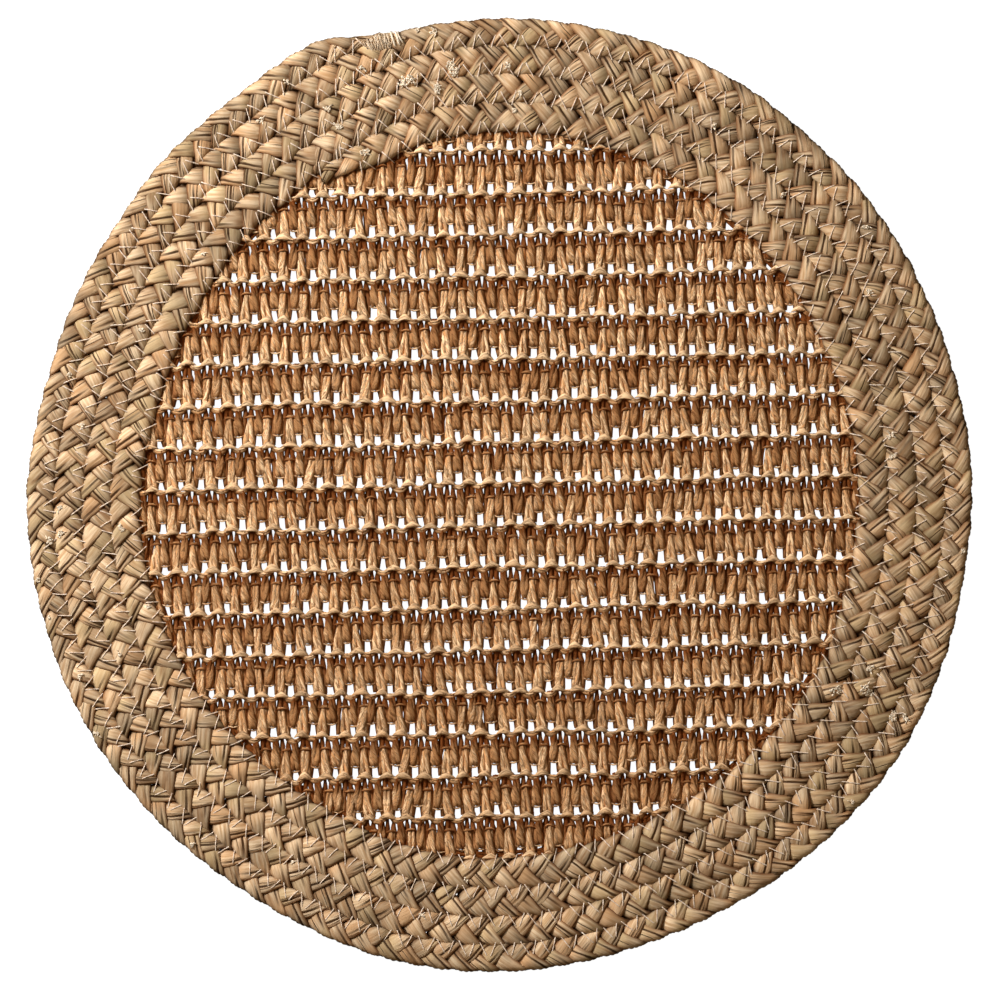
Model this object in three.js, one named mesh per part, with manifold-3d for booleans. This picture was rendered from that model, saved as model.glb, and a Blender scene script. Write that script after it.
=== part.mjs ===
// A round placemat lying flat, in millimetres, with +Z up. Its middle is a disc of open crochet in
// twisted fibre. Around it, one long flat braid is wound as a spiral of four courses, each sewn to
// the one inside it. The underside lies at z = 0, and the mat's outline is centred on the Z axis.

import * as THREE from 'three';
import { mergeVertices } from 'three/addons/utils/BufferGeometryUtils.js';
import Module from 'manifold-3d';

const { degToRad, euclideanModulo, lerp, smoothstep } = THREE.MathUtils;

// The wound braid. Angles are in degrees, counted anticlockwise from +X. The braid runs clockwise.
const BRAID_WIDTH = 11.0;
const BRAID_THICKNESS = 5.0;
const COURSE_PITCH = 11.3;
const FIRST_COURSE_RADIUS = 150.8;
const BRAID_START_ANGLE = 119.5;
const BRAID_WOUND_DEGREES = 1455;
const BRAID_STEPS = 364;

// Each course steps out to the next one over this arc, and runs round at one radius for the rest.
const STEP_OUT_ANGLE = 130;
const STEP_OUT_SPAN = 32;

// Both ends of the braid are pinched together and tucked against the neighbouring course.
const START_WIDTH = 4.5;
const START_TAPER_DEGREES = 11;
const END_WIDTH = 1.2;
const END_TAPER_DEGREES = 8.5;

// How far the whole border swings out or in from a true circle at each angle.
const RIM_WOBBLE = [
  { angle: 0, out: -1.1 },
  { angle: 20, out: -1.9 },
  { angle: 45, out: -0.9 },
  { angle: 65, out: 0.6 },
  { angle: 85, out: 0.6 },
  { angle: 110, out: -0.7 },
  { angle: 130, out: 0.5 },
  { angle: 150, out: -2.5 },
  { angle: 163, out: -3.1 },
  { angle: 185, out: -0.2 },
  { angle: 210, out: 0.0 },
  { angle: 235, out: -0.8 },
  { angle: 262, out: 1.6 },
  { angle: 295, out: -0.9 },
  { angle: 327, out: 1.0 },
  { angle: 350, out: -1.3 },
  { angle: 360, out: -1.1 },
];

// The braid's section, flat underneath and crowned on top. Across runs from -1 at the inner edge to
// 1 at the outer edge, and up from 0 at the table to 1 at the top.
const BRAID_SECTION = [
  { across: -0.8, up: 0 },
  { across: 0.8, up: 0 },
  { across: 1, up: 0.3 },
  { across: 1, up: 0.65 },
  { across: 0.55, up: 1 },
  { across: -0.55, up: 1 },
  { across: -1, up: 0.65 },
  { across: -1, up: 0.3 },
];

// The crochet. Its rows rise a little towards +X, and its columns lean as they go up.
const PANEL_THICKNESS = 2.6;
const PANEL_RIM_STEP = 3;
const PANEL_GAP = 0.45;
const ROWS_TURNED = 1.3;
const ROW_COUNT = 17;
const ROW_PITCH = 16.64;
const TOP_ROW = 137.7;
const STITCH_PITCH = 7.94;
const COLUMN_LEAN = -0.025;

// Each row ends in a raised roll of stitch heads.
const ROLL_WIDTH = 3.2;
const ROLL_HEIGHT = 1.0;
const ROLL_SUNK = 0.3;
const ROLL_BELOW_ROW = 1.0;
const ROLL_RIM_INSET = 1.2;

// The gaps between the stitches, one for every two stitches, staggered from row to row.
const GAP_WIDTH = 5.6;
const GAP_HEIGHT = 4.6;
const GAP_SHOULDER = 0.6;
const GAP_CROWN = 0.5;
const GAP_ABOVE_ROW = 0.8;
const GAP_RIM_MARGIN = 3.5;

const BRAID_FINISH = { color: 0xbda57a, roughness: 0.75, metalness: 0 };
const CROCHET_FINISH = { color: 0xc4945a, roughness: 0.8, metalness: 0 };

// The border's swing at an angle, eased from one row of the table to the next.
function rimWobble(angle) {
  const around = euclideanModulo(angle, 360);
  const next = RIM_WOBBLE.findIndex((row) => row.angle > around);
  const before = RIM_WOBBLE[next - 1];
  const after = RIM_WOBBLE[next];
  return lerp(before.out, after.out, smoothstep(around, before.angle, after.angle));
}

// The radius of the braid's centre line once so many degrees have been wound.
function courseRadius(wound) {
  const sinceFirstStep = wound + STEP_OUT_ANGLE - BRAID_START_ANGLE;
  const course = Math.floor(sinceFirstStep / 360);
  const steppedOut = smoothstep(sinceFirstStep - 360 * course, 0, STEP_OUT_SPAN);
  return FIRST_COURSE_RADIUS + COURSE_PITCH * (course - 1 + steppedOut);
}

// The braid's inner and outer radius. Its inner end narrows towards the course outside it, and its
// outer end narrows towards the course inside it.
function braidEdges(wound) {
  const centre = courseRadius(wound) + rimWobble(BRAID_START_ANGLE - wound);
  const fromStart = smoothstep(wound, 0, START_TAPER_DEGREES);
  const toEnd = smoothstep(BRAID_WOUND_DEGREES - wound, 0, END_TAPER_DEGREES);
  return {
    inner: centre + BRAID_WIDTH / 2 - lerp(START_WIDTH, BRAID_WIDTH, fromStart),
    outer: centre - BRAID_WIDTH / 2 + lerp(END_WIDTH, BRAID_WIDTH, toEnd),
  };
}

// A closed geometry whose corners are shared, from one that three.js made face by face.
function welded(geometry) {
  geometry.deleteAttribute('normal');
  geometry.deleteAttribute('uv');
  return mergeVertices(geometry, 1e-5);
}

// A straight prism of the braid's section, one unit long, is bent onto the spiral point by point.
function braidGeometry() {
  const section = new THREE.Shape(BRAID_SECTION.map(({ across, up }) => new THREE.Vector2(across, up)));
  const geometry = welded(
    new THREE.ExtrudeGeometry(section, { depth: 1, steps: BRAID_STEPS, bevelEnabled: false }),
  );
  const position = geometry.getAttribute('position');
  for (let i = 0; i < position.count; i += 1) {
    const wound = position.getZ(i) * BRAID_WOUND_DEGREES;
    const { inner, outer } = braidEdges(wound);
    const radius = lerp(inner, outer, (position.getX(i) + 1) / 2);
    const angle = degToRad(BRAID_START_ANGLE - wound);
    const height = position.getY(i) * BRAID_THICKNESS;
    position.setXYZ(i, radius * Math.cos(angle), radius * Math.sin(angle), height);
  }
  return geometry;
}

// The crochet's radius at an angle: it reaches the innermost course there, with a small gap.
function panelRadius(angle) {
  const nearby = [-1, -0.5, 0, 0.5, 1].map((share) => angle + share * PANEL_RIM_STEP);
  const edges = nearby.map((each) => braidEdges(euclideanModulo(BRAID_START_ANGLE - each, 360)).inner);
  return Math.min(...edges) - PANEL_GAP;
}

function panelOutline(inset) {
  const points = [];
  for (let angle = 0; angle < 360; angle += PANEL_RIM_STEP) {
    const radius = panelRadius(angle) - inset;
    points.push(new THREE.Vector2(radius, 0).rotateAround(new THREE.Vector2(), degToRad(angle)));
  }
  return new THREE.Shape(points);
}

// A point given along the rows and up across them, in the mat's own axes.
function onPanel(along, up) {
  return new THREE.Vector2(along, up).rotateAround(new THREE.Vector2(), degToRad(ROWS_TURNED));
}

// One gap: square below, where it stands on a row, and arched above, between two stitches.
function gapCorners(along, up) {
  const side = GAP_WIDTH / 2;
  const shoulder = up + GAP_HEIGHT * GAP_SHOULDER;
  const crown = side * GAP_CROWN;
  return [
    onPanel(along - side, up),
    onPanel(along + side, up),
    onPanel(along + side, shoulder),
    onPanel(along + crown, up + GAP_HEIGHT),
    onPanel(along - crown, up + GAP_HEIGHT),
    onPanel(along - side, shoulder),
  ];
}

function insideRim(corner) {
  const angle = THREE.MathUtils.radToDeg(corner.angle());
  return corner.length() < panelRadius(angle) - GAP_RIM_MARGIN;
}

function rowHeight(row) {
  return TOP_ROW - row * ROW_PITCH;
}

function panelGaps() {
  const gaps = [];
  const gapPitch = 2 * STITCH_PITCH;
  const reach = Math.ceil(FIRST_COURSE_RADIUS / gapPitch);
  for (let row = 0; row < ROW_COUNT; row += 1) {
    const up = rowHeight(row) + GAP_ABOVE_ROW;
    const stagger = (row % 2) * STITCH_PITCH + COLUMN_LEAN * up;
    for (let column = -reach; column <= reach; column += 1) {
      const corners = gapCorners(column * gapPitch + stagger, up);
      if (corners.every(insideRim)) {
        gaps.push(new THREE.Path(corners));
      }
    }
  }
  return gaps;
}

function panelSheet() {
  const shape = panelOutline(0);
  shape.holes = panelGaps();
  return new THREE.ExtrudeGeometry(shape, { depth: PANEL_THICKNESS, bevelEnabled: false });
}

// The disc that the raised rolls are trimmed to.
function rollTrim() {
  const disc = new THREE.ExtrudeGeometry(panelOutline(ROLL_RIM_INSET), {
    depth: PANEL_THICKNESS + ROLL_HEIGHT,
    bevelEnabled: false,
  });
  return disc.translate(0, 0, PANEL_THICKNESS / 2);
}

// One raised roll, a low bar with a rounded back, along a row and sunk a little into the sheet.
function roll(row) {
  const side = ROLL_WIDTH / 2;
  const profile = new THREE.Shape();
  profile.moveTo(-side, -ROLL_SUNK);
  profile.lineTo(side, -ROLL_SUNK);
  profile.lineTo(side * 0.85, ROLL_HEIGHT * 0.5);
  profile.lineTo(side * 0.35, ROLL_HEIGHT);
  profile.lineTo(-side * 0.35, ROLL_HEIGHT);
  profile.lineTo(-side * 0.85, ROLL_HEIGHT * 0.5);
  const length = 2 * FIRST_COURSE_RADIUS;
  const bar = new THREE.ExtrudeGeometry(profile, { depth: length, bevelEnabled: false });
  bar.translate(0, 0, -length / 2);
  bar.rotateX(Math.PI / 2);
  bar.rotateZ(Math.PI / 2);
  bar.translate(0, rowHeight(row) - ROLL_BELOW_ROW, PANEL_THICKNESS);
  return bar.rotateZ(degToRad(ROWS_TURNED));
}

const wasm = await Module();
wasm.setup();

function toSolid(geometry) {
  const closed = welded(geometry);
  const vertProperties = new Float32Array(closed.getAttribute('position').array);
  const triVerts = new Uint32Array(closed.getIndex().array);
  return new wasm.Manifold(new wasm.Mesh({ numProp: 3, vertProperties, triVerts }));
}

function toGeometry(solid) {
  const mesh = solid.getMesh();
  const geometry = new THREE.BufferGeometry();
  geometry.setAttribute('position', new THREE.BufferAttribute(mesh.vertProperties, 3));
  geometry.setIndex(new THREE.BufferAttribute(mesh.triVerts, 1));
  return geometry;
}

// The crochet disc: a flat sheet with its gaps cut through and its rolls raised on top.
function panelGeometry() {
  const trim = toSolid(rollTrim());
  let panel = toSolid(panelSheet());
  for (let row = 0; row < ROW_COUNT; row += 1) {
    panel = panel.add(toSolid(roll(row)).intersect(trim));
  }
  return toGeometry(panel);
}

function piece(name, geometry, finish) {
  const mesh = new THREE.Mesh(geometry, new THREE.MeshStandardMaterial(finish));
  mesh.name = name;
  geometry.computeVertexNormals();
  return mesh;
}

const placemat = new THREE.Group();
placemat.add(piece('braided_border', braidGeometry(), BRAID_FINISH));
placemat.add(piece('crochet_panel', panelGeometry(), CROCHET_FINISH));

// The spiral isn't quite round, so the mat is shifted until its outline is centred on the Z axis.
const middle = new THREE.Box3().setFromObject(placemat).getCenter(new THREE.Vector3());
placemat.position.set(-middle.x, -middle.y, 0);

export default placemat;
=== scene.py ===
# %% [markdown]
# # A round placemat of braided leaf around open crochet
# The mat is two things sewn together. The middle is a disc of open crochet in twisted raffia. The
# border is one very long three-strand braid of flat dried leaf, wound round the crochet as a spiral
# of four courses and sewn course to course with a pale zigzag thread.
# The solid model from the frame holds the true sizes. This file dresses it: every strand, stitch and
# thread is modelled as its own small surface, and the fine leaf grain is left to the materials.

import math

import bpy
import numpy as np
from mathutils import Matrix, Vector
from mathutils.bvhtree import BVHTree


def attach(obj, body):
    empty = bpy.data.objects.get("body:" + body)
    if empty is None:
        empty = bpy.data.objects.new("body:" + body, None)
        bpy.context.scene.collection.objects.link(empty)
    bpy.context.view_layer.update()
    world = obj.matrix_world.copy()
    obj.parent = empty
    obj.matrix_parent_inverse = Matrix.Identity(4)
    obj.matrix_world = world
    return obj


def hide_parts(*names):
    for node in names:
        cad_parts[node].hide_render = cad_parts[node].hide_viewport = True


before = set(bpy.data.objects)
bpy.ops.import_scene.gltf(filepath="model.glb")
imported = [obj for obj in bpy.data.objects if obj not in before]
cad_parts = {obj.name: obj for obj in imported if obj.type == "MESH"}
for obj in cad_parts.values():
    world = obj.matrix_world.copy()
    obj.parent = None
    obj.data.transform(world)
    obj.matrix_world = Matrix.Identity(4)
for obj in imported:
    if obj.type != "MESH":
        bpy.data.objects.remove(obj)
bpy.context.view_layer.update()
MM = 0.001
print("nodes in the frame:", len(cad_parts))

# %% [markdown]
# ## Camera and framing
# The photograph looks straight down on the mat, so nothing in it is foreshortened. A wide lens close
# by would show the sides of the outer braid; a long lens from far away keeps the view flat. The lens
# is long and the distance follows from how many millimetres one pixel covers.

# %% How far away the camera is
PHOTO_PIXELS = 1000
MM_PER_PIXEL = 0.4
SPIRAL_CENTRE_PIXEL = (500.2, 494.1)
LENS = 160.0
SENSOR = 36.0
VIEWED_HEIGHT = 3.0 * MM

photo_width = PHOTO_PIXELS * MM_PER_PIXEL * MM
camera_distance = photo_width * LENS / SENSOR
print("camera distance in m:", round(camera_distance, 3))

# %% [markdown]
# ## The route of the braid
# The braid's centre line is a spiral, but not an even one: it runs round at a steady radius and
# steps out by one braid width over a short arc at the top left, where both of its ends are. The
# whole border also swings in and out a little. A curve object could carry this, but plain functions
# of the wound angle are easier to reuse, because the strands, the sewing and the rim of the crochet
# all need to know where each course lies.

# %% The wound braid in numbers, in millimetres and degrees
BRAID_WIDTH = 11.0
COURSE_PITCH = 11.3
FIRST_COURSE_RADIUS = 150.8
BRAID_START_ANGLE = 119.5
BRAID_WOUND_DEGREES = 1455.0
STEP_OUT_ANGLE = 130.0
STEP_OUT_SPAN = 32.0
START_WIDTH = 4.5
START_TAPER_DEGREES = 11.0
END_WIDTH = 1.2
END_TAPER_DEGREES = 8.5

# Rows of angle in degrees and swing outward in millimetres.
RIM_SWING = np.array([
    (0, -1.1), (20, -1.9), (45, -0.9), (65, 0.6), (85, 0.6), (110, -0.7), (130, 0.5), (150, -2.5),
    (163, -3.1), (185, -0.2), (210, 0.0), (235, -0.8), (262, 1.6), (295, -0.9), (327, 1.0),
    (350, -1.3), (360, -1.1),
])


def ease(value, low, high):
    """Goes smoothly from 0 at low to 1 at high."""
    share = np.clip((value - low) / (high - low), 0, 1)
    return share * share * (3 - 2 * share)


def rim_swing(angle):
    around = np.mod(angle, 360)
    after = np.searchsorted(RIM_SWING[:, 0], around, side="right")
    low, high = RIM_SWING[after - 1], RIM_SWING[after]
    return low[..., 1] + (high[..., 1] - low[..., 1]) * ease(around, low[..., 0], high[..., 0])


def course_radius(wound):
    since_first_step = wound + STEP_OUT_ANGLE - BRAID_START_ANGLE
    course = np.floor(since_first_step / 360)
    stepped_out = ease(since_first_step - 360 * course, 0, STEP_OUT_SPAN)
    radius = FIRST_COURSE_RADIUS + COURSE_PITCH * (course - 1 + stepped_out)
    return radius + rim_swing(BRAID_START_ANGLE - wound)


def braid_edges(wound):
    """The braid's inner and outer radius where so many degrees have been wound."""
    centre = course_radius(wound)
    start_width = START_WIDTH + (BRAID_WIDTH - START_WIDTH) * ease(wound, 0, START_TAPER_DEGREES)
    left = BRAID_WOUND_DEGREES - wound
    end_width = END_WIDTH + (BRAID_WIDTH - END_WIDTH) * ease(left, 0, END_TAPER_DEGREES)
    return centre + BRAID_WIDTH / 2 - start_width, centre - BRAID_WIDTH / 2 + end_width


# %% The spiral's own centre
# The solid is centred on its outline, so the spiral's centre lies a little to one side of the origin.
outline_wound = np.linspace(BRAID_WOUND_DEGREES - 400, BRAID_WOUND_DEGREES, 2001)
outline_angle = np.radians(BRAID_START_ANGLE - outline_wound)
outline_radius = braid_edges(outline_wound)[1]
outline = np.stack([outline_radius * np.cos(outline_angle), outline_radius * np.sin(outline_angle)], 1)
spiral_centre = -(outline.min(0) + outline.max(0)) / 2
print("spiral centre in mm:", np.round(spiral_centre, 2))


def around_centre(radius, angle):
    """Millimetres east and north of the origin, from a radius and an angle in degrees."""
    turned = np.radians(angle)
    return spiral_centre[0] + radius * np.cos(turned), spiral_centre[1] + radius * np.sin(turned)


# %% Place the camera
camera = bpy.data.objects.new("camera", bpy.data.cameras.new("camera"))
bpy.context.scene.collection.objects.link(camera)
camera.data.lens = LENS
camera.data.sensor_width = SENSOR
half_photo = PHOTO_PIXELS / 2
camera.location = (
    (spiral_centre[0] + (half_photo - SPIRAL_CENTRE_PIXEL[0]) * MM_PER_PIXEL) * MM,
    (spiral_centre[1] + (SPIRAL_CENTRE_PIXEL[1] - half_photo) * MM_PER_PIXEL) * MM,
    camera_distance + VIEWED_HEIGHT,
)
bpy.context.scene.camera = camera
print("camera in m:", [round(c, 4) for c in camera.location])

# %% [markdown]
# ## Floor and light
# The mat lies on a bright white surface in light from the upper left of the picture. One disc of light,
# as large as a small window, shades the round leaves, and a dim warm sky with a wide weak light fills
# the shadows. A brighter sky would be simpler, but would leave the mat flat. The floor glows, as the
# backlit table of a product photograph does, so that the gaps in the crochet stay white. Its glow is
# kept off the mat, because light from below would wash out the dark folds between the leaves.

# %% Floor
FLOOR_REACH = 3.0
FLOOR_GREY = 0.3


def floor_finish():
    material = bpy.data.materials.new("pale_floor")
    material.use_nodes = True
    shader = material.node_tree.nodes["Principled BSDF"]
    shader.inputs["Base Color"].default_value = (FLOOR_GREY, FLOOR_GREY, FLOOR_GREY, 1)
    shader.inputs["Roughness"].default_value = 0.9
    shader.inputs["Emission Color"].default_value = (1, 1, 1, 1)
    shader.inputs["Emission Strength"].default_value = 1.0
    return material


floor_mesh = bpy.data.meshes.new("floor")
floor_mesh.from_pydata(
    [(x * FLOOR_REACH, y * FLOOR_REACH, 0) for x, y in ((-1, -1), (1, -1), (1, 1), (-1, 1))],
    [],
    [(0, 1, 2, 3)],
)
floor = bpy.data.objects.new("floor", floor_mesh)
bpy.context.scene.collection.objects.link(floor)
floor_mesh.materials.append(floor_finish())
floor.visible_diffuse = False
floor.visible_glossy = False

# %% Lights
WARM_FILL = (1.0, 0.80, 0.55)
SKY_STRENGTH = 0.13

# Rows of name, place and size in metres, power in watts, and colour.
LIGHTS = [
    ("window_light", (-0.8, 0.66, 0.72), 0.32, 19.5, (1, 1, 1)),
    ("fill_light", (0.6, -1.2, 1.8), 1.6, 2.4, WARM_FILL),
]


def soft_light(name, place, size, power, colour):
    """An area light that looks at the middle of the mat."""
    light = bpy.data.objects.new(name, bpy.data.lights.new(name, "AREA"))
    light.data.shape = "DISK"
    light.data.size = size
    light.data.energy = power
    light.data.color = colour
    light.location = place
    light.rotation_euler = (-Vector(place)).to_track_quat("-Z", "Y").to_euler()
    bpy.context.scene.collection.objects.link(light)


for light in LIGHTS:
    soft_light(*light)
sky = bpy.data.worlds.new("soft_sky")
sky.use_nodes = True
sky.node_tree.nodes["Background"].inputs["Color"].default_value = (*WARM_FILL, 1)
sky.node_tree.nodes["Background"].inputs["Strength"].default_value = SKY_STRENGTH
bpy.context.scene.world = sky
bpy.context.scene.view_settings.view_transform = "Standard"
print("lights:", [light[0] for light in LIGHTS])

# %% [markdown]
# ## Writing materials as sums
# A material is a graph of nodes, which is slow to read when it is wired socket by socket. Here one
# small class stands for a node's output and another for a material. Adding or multiplying outputs
# adds the Math nodes that do it, so a mask reads like the formula that it is.

# %% Shader helpers
class Wire:
    """A node's output that can be used in a sum with numbers and with other outputs."""

    def __init__(self, finish, socket):
        self.finish = finish
        self.socket = socket

    def maths(self, operation, first, second):
        return self.finish.node("ShaderNodeMath", {"operation": operation}, {0: first, 1: second})

    def __add__(self, other):
        return self.maths("ADD", self, other)

    def __sub__(self, other):
        return self.maths("SUBTRACT", self, other)

    def __mul__(self, other):
        return self.maths("MULTIPLY", self, other)

    def __rsub__(self, other):
        return self.maths("SUBTRACT", other, self)

    __radd__ = __add__
    __rmul__ = __mul__

    def distance(self):
        return self.finish.node("ShaderNodeMath", {"operation": "ABSOLUTE"}, {0: self})

    def or_more(self, other):
        return self.maths("MAXIMUM", self, other)

    def eased(self, low, high):
        """0 at low and below, 1 at high and above, smooth between."""
        sockets = {"Value": self, "From Min": low, "From Max": high}
        return self.finish.node("ShaderNodeMapRange", {"interpolation_type": "SMOOTHSTEP"}, sockets)


class Finish:
    """A material that is written as expressions."""

    def __init__(self, name):
        self.material = bpy.data.materials.new(name)
        self.material.use_nodes = True
        self.tree = self.material.node_tree
        self.shader = self.tree.nodes["Principled BSDF"]

    def plug(self, socket, value):
        if isinstance(value, Wire):
            self.tree.links.new(value.socket, socket)
        elif isinstance(value, tuple) and len(value) == 3 and socket.type == "RGBA":
            socket.default_value = (*value, 1)
        else:
            socket.default_value = value

    def node(self, kind, settings, sockets, output=0):
        """Adds a node, with its settings made first and then its sockets' values or links."""
        made = self.tree.nodes.new(kind)
        for name, value in settings.items():
            setattr(made, name, value)
        for key, value in sockets.items():
            self.plug(made.inputs[key], value)
        return Wire(self, made.outputs[output])

    def measured(self, name):
        """The three parts of a vector that was stored at each point of the mesh."""
        stored = self.node("ShaderNodeAttribute", {"attribute_name": name}, {}, "Vector")
        parts = self.node("ShaderNodeSeparateXYZ", {}, {0: stored})
        return [Wire(self, parts.socket.node.outputs[i]) for i in range(3)]

    def vector(self, x, y, z):
        return self.node("ShaderNodeCombineXYZ", {}, {0: x, 1: y, 2: z})

    def noise(self, place, scale, detail=2.0):
        return self.node("ShaderNodeTexNoise", {}, {"Vector": place, "Scale": scale, "Detail": detail})

    def mixed(self, share, first, second):
        """A colour that goes from first to second."""
        sockets = {0: share, 6: first, 7: second}
        return self.node("ShaderNodeMix", {"data_type": "RGBA"}, sockets, 2)

    def shaded(self, colour, share):
        """A colour multiplied by a grey share."""
        settings = {"data_type": "RGBA", "blend_type": "MULTIPLY"}
        return self.node("ShaderNodeMix", settings, {0: 1.0, 6: colour, 7: share}, 2)

    def bump(self, height, depth):
        return self.node("ShaderNodeBump", {}, {"Height": height, "Distance": depth}, "Normal")

    def finished(self, **surface):
        for name, value in surface.items():
            self.plug(self.shader.inputs[name.replace("_", " ")], value)
        return self.material


# %% [markdown]
# ## Building meshes from arrays
# The mat has hundreds of thousands of faces, and all of them are rows of rings joined into tubes.
# Sweeping curve objects would be simpler, but would give no say in how a flat strand folds over.
# So each tube is a block of points, ring by ring, and one helper joins blocks into a single mesh. It
# also lays each tube out as a strip in a texture map, so that a baked picture of it is even.

# %% Mesh helpers
TABLE_GAP = 0.03
STRIP_FILLED = 0.92
LONG_STRIP_FILLED = 0.98


class Piece:
    """Collects closed tubes and turns them into one object. strips says how the texture map is shared
    out: in rows for each tube when the tube is long, or else in columns and rows of whole tubes."""

    def __init__(self, name, strips):
        self.name = name
        self.strips = strips
        self.points = []
        self.faces = []
        self.strip_places = []
        self.measures = {}
        self.point_count = 0
        self.tube_count = 0

    def add_tube(self, rings, measures):
        """rings holds the points as (ring, place in the ring, xyz), in millimetres. Both ends are
        closed by a flat face, and what would reach below the table is pressed flat. measures holds
        vectors to store at the points."""
        steps, sides = rings.shape[:2]
        rings = np.concatenate([rings[..., :2], np.maximum(rings[..., 2:], TABLE_GAP)], axis=-1)
        ids = self.point_count + np.arange(steps * sides).reshape(steps, sides)
        beside = np.roll(ids, -1, axis=1)
        quads = np.stack([ids[:-1], beside[:-1], beside[1:], ids[1:]], axis=-1)
        self.points.append(rings.reshape(-1, 3))
        self.faces.append((quads.reshape(-1, 4), ids[0, ::-1], ids[-1]))
        for name, values in measures.items():
            self.measures.setdefault(name, []).append(values.reshape(-1, 3))
        self.strip_places.append(self.strip_of(steps, sides))
        self.point_count += steps * sides
        self.tube_count += 1

    def strip_of(self, steps, sides):
        """Where the faces of a tube lie in the texture map: it is cut into rows of the map."""
        along = np.arange(steps - 1)
        around = np.arange(sides)
        if self.strips["rows_per_tube"]:
            rows = self.strips["rows_per_tube"]
            per_row = math.ceil((steps - 1) / rows)
            row = along // per_row
            left = (along % per_row) / per_row
            width = 1 / per_row
            height = 1 / rows
            bottom = row * height
        else:
            columns = self.strips["columns"]
            width = 1 / (columns * (steps - 1))
            height = 1 / self.strips["rows"]
            left = (self.tube_count % columns) / columns + along * width
            bottom = np.full(steps - 1, (self.tube_count // columns) * height)
        low = bottom[:, None] + around[None, :] / sides * height * STRIP_FILLED
        high = low + height * STRIP_FILLED / sides
        west = np.broadcast_to(left[:, None], low.shape)
        east = west + width * (LONG_STRIP_FILLED if self.strips["rows_per_tube"] else STRIP_FILLED)
        corners = [(west, low), (west, high), (east, high), (east, low)]
        return np.stack([np.stack(corner, axis=-1) for corner in corners], axis=2).reshape(-1, 2)

    def build(self, material):
        points = np.concatenate(self.points) * MM
        quads = np.concatenate([faces[0] for faces in self.faces])
        ends = [end for faces in self.faces for end in faces[1:]]
        loops = np.concatenate([quads.reshape(-1)] + ends)
        sizes = np.concatenate([np.full(len(quads), 4), [len(end) for end in ends]]).astype(np.int32)
        starts = np.concatenate([[0], np.cumsum(sizes)[:-1]]).astype(np.int32)
        mesh = bpy.data.meshes.new(self.name)
        mesh.vertices.add(len(points))
        mesh.vertices.foreach_set("co", points.reshape(-1))
        mesh.loops.add(len(loops))
        mesh.loops.foreach_set("vertex_index", loops.astype(np.int32))
        mesh.polygons.add(len(sizes))
        mesh.polygons.foreach_set("loop_start", starts)
        mesh.polygons.foreach_set("use_smooth", np.ones(len(sizes), dtype=bool))
        mesh.update(calc_edges=True)
        for name, values in self.measures.items():
            stored = mesh.attributes.new(name, "FLOAT_VECTOR", "POINT")
            stored.data.foreach_set("vector", np.concatenate(values).astype(np.float32).reshape(-1))
        strip_map = mesh.uv_layers.new(name="OFBake")
        places = np.concatenate(self.strip_places)
        end_places = np.zeros((len(loops) - len(places), 2))
        strip_map.data.foreach_set("uv", np.concatenate([places, end_places]).reshape(-1))
        mesh.validate()
        mesh.materials.append(material)
        made = bpy.data.objects.new(self.name, mesh)
        bpy.context.scene.collection.objects.link(made)
        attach(made, "root")
        triangles = 2 * len(quads) + sum(len(end) - 2 for end in ends)
        print(self.name, "has", triangles, "triangles")
        return made


def wander(place, spacing, seed, amount=1.0):
    """A smooth random line that swings between minus and plus the amount."""
    knots = np.random.default_rng(seed).uniform(-1, 1, int(np.max(place) / spacing) + 3)
    at = np.clip(place / spacing, 0, len(knots) - 2)
    before = np.floor(at).astype(int)
    share = ease(at - before, 0, 1)
    return amount * (knots[before] * (1 - share) + knots[before + 1] * share)


# %% [markdown]
# ## One strand of the braid
# Each strand is a bundle of leaf folded into a flat ribbon. It comes over one edge of the braid, runs
# slantwise inward on top, dives under the strand that comes from the other edge, runs on underneath
# and folds over the far edge. Think of the ribbon as straight tape on flat paper: folding the paper
# at every edge gives the zigzag. The fold is rounded, and half way between two folds the ribbon
# goes from the upper layer to the lower one. A sine wave would be simpler, but its turns are too
# soft: this way gives the crisp slanted leaves of a flat plait.

# %% The ribbon's path in the braid, in millimetres
HALF_WIDTH = BRAID_WIDTH / 2
RIBBON_THICKNESS = 2.4
FOLD_RADIUS = 1.2
FLAT_REACH = HALF_WIDTH - RIBBON_THICKNESS / 2 - FOLD_RADIUS
CROSSING = 2 * FLAT_REACH + math.pi * FOLD_RADIUS
ADVANCE = 14.5
SLANT = math.atan2(CROSSING, ADVANCE)
RUN_PER_CROSSING = math.hypot(CROSSING, ADVANCE)
DIVE = 6.2
TABLE_CLEARANCE = 0.1
BRAID_MIDDLE_HEIGHT = FOLD_RADIUS + RIBBON_THICKNESS / 2 + TABLE_CLEARANCE


def folded_ribbon(run, sway):
    """Along, across and up in the braid, from the run along the ribbon and the sway across it."""
    unfolded = run * math.sin(SLANT) + sway * math.cos(SLANT)
    along = run * math.cos(SLANT) - sway * math.sin(SLANT)
    crossing = np.round(unfolded / CROSSING)
    local = unfolded - crossing * CROSSING
    outward = np.where(np.mod(crossing, 2) == 0, -1.0, 1.0)
    past = np.clip((np.abs(local) - FLAT_REACH) / FOLD_RADIUS, 0, math.pi / 2)
    reach = np.minimum(np.abs(local), FLAT_REACH) + FOLD_RADIUS * np.sin(past)
    across = outward * np.sign(local) * reach
    dive = np.clip((run - crossing * RUN_PER_CROSSING) / DIVE + 0.5, 0, 1)
    layer = np.where(past > 0, -np.sign(local) * np.cos(past), np.cos(math.pi * dive))
    return along, across, FOLD_RADIUS * layer


# %% How long the braid is
wound_steps = np.linspace(0, BRAID_WOUND_DEGREES, 8001)
route_x, route_y = around_centre(course_radius(wound_steps), BRAID_START_ANGLE - wound_steps)
route_length = np.concatenate([[0], np.cumsum(np.hypot(np.diff(route_x), np.diff(route_y)))])
braid_length = route_length[-1]
print("braid length in mm:", round(braid_length))


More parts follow.
